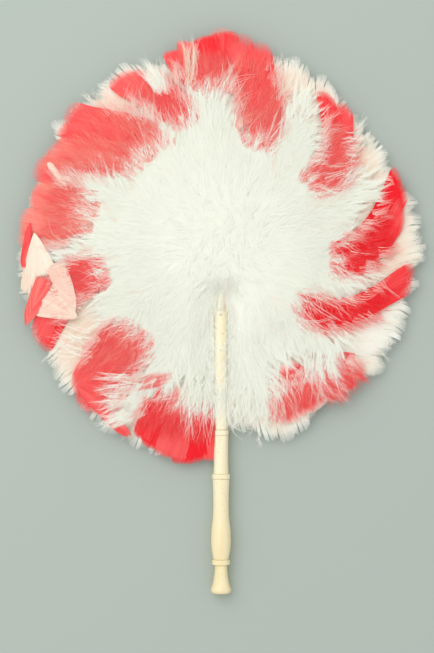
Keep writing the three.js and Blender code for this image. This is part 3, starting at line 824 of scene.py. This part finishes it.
def barb_wisps(line, rng, count, ends, aside, splay, length, strands, look, overlap=None):
    """Loose barbs off a shaft, between two radii (ends): pointed wisps on both sides of it.

    A wisp's root lies off the shaft by a distance between the two of aside, and its heading turns outward
    from the shaft by an angle between the two of splay, in degrees, less so towards the tip. With an
    overlap, the wisps that would run further than that over a red bunch are left out. So are those rooted on
    another red bunch, on the stem or on its other side.
    """
    radius = rng.uniform(*ends, count)
    sign = np.where(rng.random(count) < 0.5, -1.0, 1.0)
    bearing = np.interp(radius, line.radius, line.bearing)
    bearing = bearing + sign * rng.uniform(*aside, count) / radius
    root = on_fan(radius, bearing, 0)[:, :2]
    outer = (radius - ends[0]) / (ends[1] - ends[0])
    heading = bearing + sign * np.radians(rng.uniform(*splay, count)) * (1 - 0.6 * outer)
    long = length * rng.uniform(0.6, 1.2, count)
    spread = rng.uniform(*look.spread, count)
    keep = np.arange(count)
    if overlap is not None:
        keep = off_red(root, heading, long - overlap, rng)
    elsewhere = red_cover(*root[keep].T, line) > 0.3
    across_stem = (root[keep, 1] < STEM_TIP) & (root[keep, 0] * line.hand < 3)
    keep = keep[~(elsewhere | across_stem)]
    return wisps(root[keep], heading[keep], long[keep], spread[keep], strands, rng, face_height, look)


def dress_feathers():
    """Each feather's vanes and loose barbs, as one piece for each node."""
    for index, node in enumerate(nodes_named("red_feather")):
        rng = np.random.default_rng([1, index])
        inner, span, _, _, share, shade, dye_end, slant = RED_BUNCHES[index]
        line = RED_LINES[index]
        look = changed(RED_LOOK, span=span, share=share, shade=shade, dye_end=dye_end, slant=slant)
        look.start = max(RED_LOOK.start, inner - np.interp(inner, (85, 110), (24, 12)))
        parts = bunch(line, rng, look)
        fluff = changed(RED_FLUFF, shade=1.25 * shade)
        half = 0.5 * np.radians(span) * line.reach
        ends = (inner - 6, inner + 12)
        parts.append(barb_wisps(line, rng, 130, ends, (0, 0.6 * half), (-10, 30), 16, 8, fluff))
        ends = (inner + 4, max(inner + 10, line.reach - 20))
        fuzz = changed(RED_FUZZ, shade=1.3 * shade)
        parts.append(barb_wisps(line, rng, 200, ends, (0, 0.85 * half), (-14, 18), 15, 6, fuzz))
        parts.append(barb_wisps(line, rng, 40, ends, (half - 5, half), (-18, 6), 15, 6, RED_FLANKS))
        add_piece(node + "_barbs", parts, RED_BARBS, [node])
    for index, node in enumerate(nodes_named("white_feather")):
        rng = np.random.default_rng([2, index])
        span, swing, share, shade = WHITE_BUNCHES[index]
        line = bowed(feather_line(node, 1), 0, swing)
        parts = bunch(line, rng, changed(WHITE_LOOK, span=span, share=share, shade=shade))
        rim = share * line.reach
        parts.append(barb_wisps(line, rng, 16, (rim - 22, rim - 10), (0, 24), (-15, 30), 9, 4, RIM_HAIRS))
        add_piece(node + "_barbs", parts, WHITE_BARBS, [node])
    for index, node in enumerate(nodes_named("covert_feather")):
        rng = np.random.default_rng([3, index])
        line = feather_line(node, 1)
        out = np.arange(60, line.reach + 4, 2)
        shown = on_feather(line, out, 0, 0)
        clear = out[red_cover(*shown.T[:2]) < 0.5].max()
        parts = bunch(line, rng, changed(COVERT_LOOK, share=clear / line.reach))
        parts.append(barb_wisps(line, rng, 210, (52, clear), (0, 11), (0, 55), 18, 8, COVERT_WISPS, 6))
        add_piece(node + "_barbs", parts, DOWN_BARBS, [node])
    for index, node in enumerate(nodes_named("back_feather")):
        rng = np.random.default_rng([4, index])
        span, swing = BACK_BUNCHES[index]
        line = bowed(feather_line(node, -1), 0, swing)
        parts = bunch(line, rng, changed(BACK_LOOK, span=span))
        add_piece(node + "_barbs", parts, WHITE_BARBS, [node])


# Loose vanes that lie across the face: foot and tip (mm), half width, flare, bluntness, sweep, shade, level
LOOSE_WHITE_VANES = [
    ((-126, 7), (-131, -33), 6, 0.6, 12, 0.4, 0.35, 0.7),
    ((-126, 8), (-121, -22), 12.5, 0.85, 30, 0.3, 0.6, 1.1),
    ((-98, -44), (-113, -12), 9, 0.6, 5, 0.5, 0.05, 1.4),
    ((-97, -49), (-121, -35), 14.5, 0.75, 30, 0.25, 0.2, 1.2),
    ((-104, 39), (-117, 56), 2.6, 0.4, 8, 0.6, 0.1, 0.9),
]
LOOSE_RED_VANES = [
    ((-132, -54), (-118.5, -21.5), 5.8, 0.2, 30, 0.5, 0.6, 1.6),
    ((-129, 15), (-133.5, -16), 3.4, 0.3, 8, 0.6, 0.4, 0.6),
    ((-98, -95), (-61, -130), 5.0, 0.3, 6, 0.5, 0.45, -0.6),
]
LOOSE_LOOK = changed(
    OUTER_LOOK, start=0, clumps=12, hold=8, skew=0.0, roll=0.0, dye_start=0.2, clump_shade=0.35
)


def loose_vane(foot, tip, half, flare, blunt, sweep, shade, level, rng):
    """A vane on a straight shaft from foot to tip, laid on the fan's face."""
    foot = np.array(foot, float)
    run = np.array(tip, float) - foot
    length = np.linalg.norm(run)
    forward = run / length

    def place(along, across, lift):
        x = foot[0] + along * forward[0] + across * forward[1]
        y = foot[1] + along * forward[1] - across * forward[0]
        return np.stack([x, y, face_height(x, y) + lift], axis=-1)

    look = changed(LOOSE_LOOK, reach=length, half=half, flare=flare, blunt=blunt)
    look = changed(look, sweep=sweep, shade=shade, level=level)
    return [vane(place, rng, look), shaft(place, look)]


# Patches of wisps: the corners that their roots fill (mm), headings (degrees), length, hook, count, and the
# strands in a wisp
RED_STREAK = ((-46, -94), (-32, -86), (246, 256), 19, 0.0, 26, 5)
WHITE_STREAK = ((-25, 108), (-17, 117), (2, 12), 27, 0.0, 18, 6)
CURLED_PATCHES = [
    ((16, -96), (36, -84), (110, 160), 42, 0.8, 34, 6),
    ((5, -104), (18, -92), (165, 205), 26, 0.2, 14, 4),
    ((4, -116), (9, -108), (170, 190), 20, -0.7, 6, 2),
    ((58, -80), (80, -66), (178, 205), 35, -0.5, 24, 12),
    ((-24, -98), (-5, -86), (165, 215), 26, -0.05, 70, 4),
    ((-26, -106), (-6, -94), (165, 205), 34, 0.1, 34, 2),
    ((-72, -106), (-52, -86), (240, 270), 22, 0.1, 40, 6),
    ((-68, -118), (-52, -102), (222, 252), 20, 0.1, 36, 6),
    ((-45, 101), (-35, 108), (316, 352), 23, 0.0, 34, 8),
    ((-100, -76), (-86, -56), (270, 300), 22, 0.0, 24, 3),
    ((60, 54), (65, 79), (78, 102), 14, 0.0, 34, 3),
    ((89, 56), (94, 76), (255, 290), 10, 0.0, 18, 3),
    ((-88, 36), (-58, 43), (312, 345), 12, 0.0, 50, 5),
]
OVER_STEM_PATCHES = [
    ((-6, -112), (7, -62), (150, 210), 11, 0.1, 90, 2),
    ((-6, -114), (7, -92), (140, 220), 12, 0.1, 130, 2),
    ((-6, -42), (6, -18), (150, 210), 14, 0.0, 60, 2),
    ((-10, -105), (-5, -40), (130, 175), 8, 0.1, 150, 3),
    ((5, -105), (10, -40), (185, 230), 8, -0.1, 170, 3),
]


def patch_wisps(patch, rng, ground, look):
    """Wisps whose roots fill a patch at random, laid on the ground given."""
    low, high, headings, length, hook, count, strands = patch
    root = rng.uniform(low, high, (count, 2))
    heading = np.radians(rng.uniform(*headings, count))
    long = length * rng.uniform(0.7, 1.1, count)
    spread = 0.35 * strands * rng.uniform(0.6, 1.4, count)
    return wisps(root, heading, long, spread, strands, rng, ground, changed(look, hook=hook))


def curled_wisps():
    """Long wisps in patches, most of them round the handle, and short ones that cross the stem."""
    rng = np.random.default_rng(83)
    parts = [patch_wisps(patch, rng, face_height, CURL_LOOK) for patch in CURLED_PATCHES]
    crossing = changed(CURL_LOOK, parted=False)
    parts += [patch_wisps(patch, rng, over_stem, crossing) for patch in OVER_STEM_PATCHES]
    add_piece("curled_wisps", parts, DOWN_BARBS)


def loose_vanes():
    """Single vanes that have slipped across the face, and a streak of wisps in each colour."""
    rng = np.random.default_rng(57)
    white = [part for row in LOOSE_WHITE_VANES for part in loose_vane(*row, rng)]
    streak = changed(FRINGE_LOOK, level=0.8, shade=0.3, wisp_shade=0.2)
    white.append(patch_wisps(WHITE_STREAK, rng, face_height, streak))
    add_piece("loose_white_vanes", white, WHITE_BARBS)
    red = [part for row in LOOSE_RED_VANES for part in loose_vane(*row, rng)]
    streak = changed(RED_FUZZ, level=0.8, shade=0.6, dye=(0.06, 0.4))
    red.append(patch_wisps(RED_STREAK, rng, face_height, streak))
    add_piece("loose_red_vanes", red, RED_BARBS)


# Down


def fringe_rows(rng):
    """Rows of wisps round the heart that end on rings within the fringe's reach, or where a red bunch starts.

    They overlap the red bunches a little, and turn pink there.
    """
    places = np.arange(FRINGE_COUNT)[None] + rng.random((FRINGE_ROWS, FRINGE_COUNT))
    bearing = (places / FRINGE_COUNT * 2 * np.pi).ravel()
    count = len(bearing)
    row = np.repeat(np.arange(FRINGE_ROWS), FRINGE_COUNT)
    tip = FRINGE_REACH - FRINGE_STEP * row + 4 * rng.standard_normal(count)
    length = 20 + 12 * rng.random(count)
    turn = np.radians(18 * rng.standard_normal(count))
    radius = tip - length * np.cos(turn)
    bearing = bearing - length * np.sin(turn) / tip
    heading = bearing + turn
    root = on_fan(radius, bearing, 0)[:, :2]
    keep = off_red(root, heading, length - 8 * rng.random(count), rng)
    keep = keep[(np.abs(root[keep, 0]) > 6) | (root[keep, 1] > STEM_TIP)]
    root, heading, length = root[keep], heading[keep], length[keep]
    end = on_fan(tip[keep], heading, 0)
    shade = 0.85 - 0.6 * red_cover(*end.T[:2]) * rng.random(len(keep))
    spread = 2.6 * rng.uniform(0.6, 1.4, len(keep))
    look = changed(FRINGE_LOOK, shade=shade)
    return wisps(root, heading, length, spread, FRINGE_STRANDS, rng, face_height, look)


def edge_hairs(rng):
    """Fine pale hairs rooted along the borders of the red bunches, leaning clockwise over them."""
    radius = rng.uniform(58, 112, HAIR_TRIES)
    bearing = rng.uniform(-np.pi, np.pi, HAIR_TRIES)
    root = on_fan(radius, bearing, 0)[:, :2]
    cover = red_cover(*root.T)
    beside = (np.abs(root[:, 0]) > 8) | (root[:, 1] > 0)
    thinned = (root[:, 0] < 85) | (rng.random(HAIR_TRIES) < 0.12)
    keep = np.flatnonzero((cover > 0.05) & (cover < 0.6) & beside & thinned)
    heading = bearing[keep] + np.radians(26 + 20 * rng.standard_normal(len(keep)))
    length = 10 + 16 * rng.random(len(keep))
    look = changed(HAIR_LOOK, shade=rng.uniform(0.3, 0.8, len(keep)))
    spread = 2 + 3 * rng.random(len(keep))
    return wisps(root[keep], heading, length, spread, 3, rng, face_height, look)


def fringe():
    """Wisps round the heart's edge, and fine hairs over the borders of the red bunches."""
    rng = np.random.default_rng(41)
    add_piece("fringe_wisps", [fringe_rows(rng)], DOWN_BARBS)
    add_piece("fringe_hairs", [edge_hairs(rng)], DOWN_BARBS)


def down_core(radius, height, outward):
    """A lobed round of down: rings of points on height, closed at the centre by a fan of triangles."""
    sides, rings = 120, 40
    around = np.linspace(0, 2 * np.pi, sides, endpoint=False)
    share = np.linspace(0.01, 1, rings)[:, None]
    out = radius * share * (1 + 0.05 * np.sin(11 * around + 1) + 0.04 * np.sin(7 * around))
    x = out * np.sin(around)
    y = out * np.cos(around)
    z = height(x, y)
    points = np.concatenate([np.stack([x, y, z], axis=-1).reshape(-1, 3), [[0, 0, z[0].mean()]]])
    ring = np.arange(sides)
    cap = np.stack([np.roll(ring, -1), ring, np.full(sides, sides * rings)], axis=-1)
    uv = np.stack([0.1 + 0.8 * share * np.ones(sides), 0.6 + 0.2 * np.sin(3 * around) * share], axis=-1)
    uv = np.concatenate([uv.reshape(-1, 2), [[0.1, 0.6]]])
    faces = [ring_faces(rings, sides), cap]
    if outward:
        faces = [face[:, ::-1] for face in faces]
    return points, faces, uv


def tuft_roots(radius, step, rng):
    """Roots on rings a step apart, a step apart round each ring, each a little off its place."""
    rings = [on_fan(ring, np.arange(0, 2 * np.pi, step / ring) + rng.random(), 0.0) for ring in radius]
    root = np.concatenate(rings)[:, :2]
    return root + 0.33 * step * rng.standard_normal(root.shape)


def heart():
    """The white heart: a low lobed dome with a skirt under the red vanes, and rings of tufts laid over it."""
    rng = np.random.default_rng(7)

    def dome(x, y):
        radius = np.hypot(x, y)
        top = face_height(x, y) - 0.7
        under_red = np.minimum(RED_TOP - 1.1 - top, 0) * smooth_step(red_cover(x, y), 0, 0.4)
        return top + under_red - SKIRT_DROP * smooth_step(radius, SKIRT_RADIUS - 16, SKIRT_RADIUS)

    add_piece("heart_core", [down_core(SKIRT_RADIUS, dome, True)], DOWN_BARBS, ["front_down"])
    root = tuft_roots(np.arange(1, HEART_RADIUS - 4, 4.6), 4.9, rng)
    root = root[~((np.abs(root[:, 0]) < 5) & (root[:, 1] < STEM_TIP - 2))]
    outward = np.arctan2(root[:, 0], root[:, 1])
    loose = 0.35 + 2.5 * np.exp(-np.hypot(root[:, 0], root[:, 1]) / 11)
    heading = outward - 0.2 + loose * rng.standard_normal(len(root))
    length = 17 + 14 * rng.random(len(root))
    end = root + length[:, None] * np.stack([np.sin(heading), np.cos(heading)], axis=-1)
    length = length * (1 - 0.6 * red_cover(*end.T[:2]))
    spread = 4 + 4 * rng.random(len(root))
    part = wisps(root, heading, length, spread, 24, rng, face_height, HEART_LOOK)
    add_piece("heart_tufts", [part], DOWN_BARBS)


def back_down():
    """The round of down on the back: a pressed pillow and tufts laid outward, flat to the table."""
    rng = np.random.default_rng(23)

    def pillow(x, y):
        return back_height(x, y) + 0.5

    add_piece("back_down_core", [down_core(BACK_RADIUS, pillow, False)], DOWN_BARBS, ["back_down"])
    root = tuft_roots(np.arange(4, BACK_RADIUS - 4, 6.5), 7.2, rng)
    heading = np.arctan2(root[:, 0], root[:, 1]) + 0.35 * rng.standard_normal(len(root))
    length = 18 + 12 * rng.random(len(root))
    spread = 5 + 4 * rng.random(len(root))
    part = wisps(root, heading, length, spread, 14, rng, back_height, BACK_DOWN_LOOK)
    add_piece("back_down_tufts", [part], DOWN_BARBS)


# Stage


def stage():
    """A plain pale floor, one broad soft lamp, an even sky, and a camera straight above the fan."""
    material, tree = blank_material("pale_floor")
    values = {"Base Color": rgb(178, 188, 180), "Roughness": 0.9, "Specular IOR Level": 0.1}
    face = node_of(tree, "ShaderNodeBsdfPrincipled", values)["BSDF"]
    node_of(tree, "ShaderNodeOutputMaterial", {"Surface": face})
    mesh = bpy.data.meshes.new("floor")
    low, high = -FLOOR_HALF, FLOOR_HALF
    mesh.from_pydata([(low, low, 0), (high, low, 0), (high, high, 0), (low, high, 0)], [], [(0, 1, 2, 3)])
    mesh.materials.append(material)
    floor = link_object("floor", mesh)

    lamp = bpy.data.lights.new("soft_lamp", "AREA")
    lamp.shape = "DISK"
    lamp.size = LAMP_SIZE
    lamp.energy = LAMP_POWER
    lamp_object = link_object("soft_lamp", lamp)
    lamp_object.location = LAMP_PLACE
    lamp_object.rotation_euler = (-lamp_object.location).to_track_quat("-Z", "Y").to_euler()

    world = bpy.data.worlds.new("even_sky")
    world.use_nodes = True
    sky = world.node_tree.nodes["Background"].inputs
    sky["Color"].default_value = (1, 1, 1, 1)
    sky["Strength"].default_value = SKY_STRENGTH
    bpy.context.scene.world = world

    camera = bpy.data.cameras.new("camera")
    camera.sensor_width = SENSOR
    camera.lens = SENSOR * (CAMERA_HEIGHT - FACE_HEIGHT) / VIEW_HEIGHT
    camera_object = link_object("camera", camera)
    camera_object.location = Vector((*VIEW_CENTRE, CAMERA_HEIGHT)) * MM
    bpy.context.scene.camera = camera_object
    bpy.context.scene.view_settings.view_transform = "Standard"


stage()
dress_handle()
dress_feathers()
loose_vanes()
heart()
fringe()
curled_wisps()
back_down()
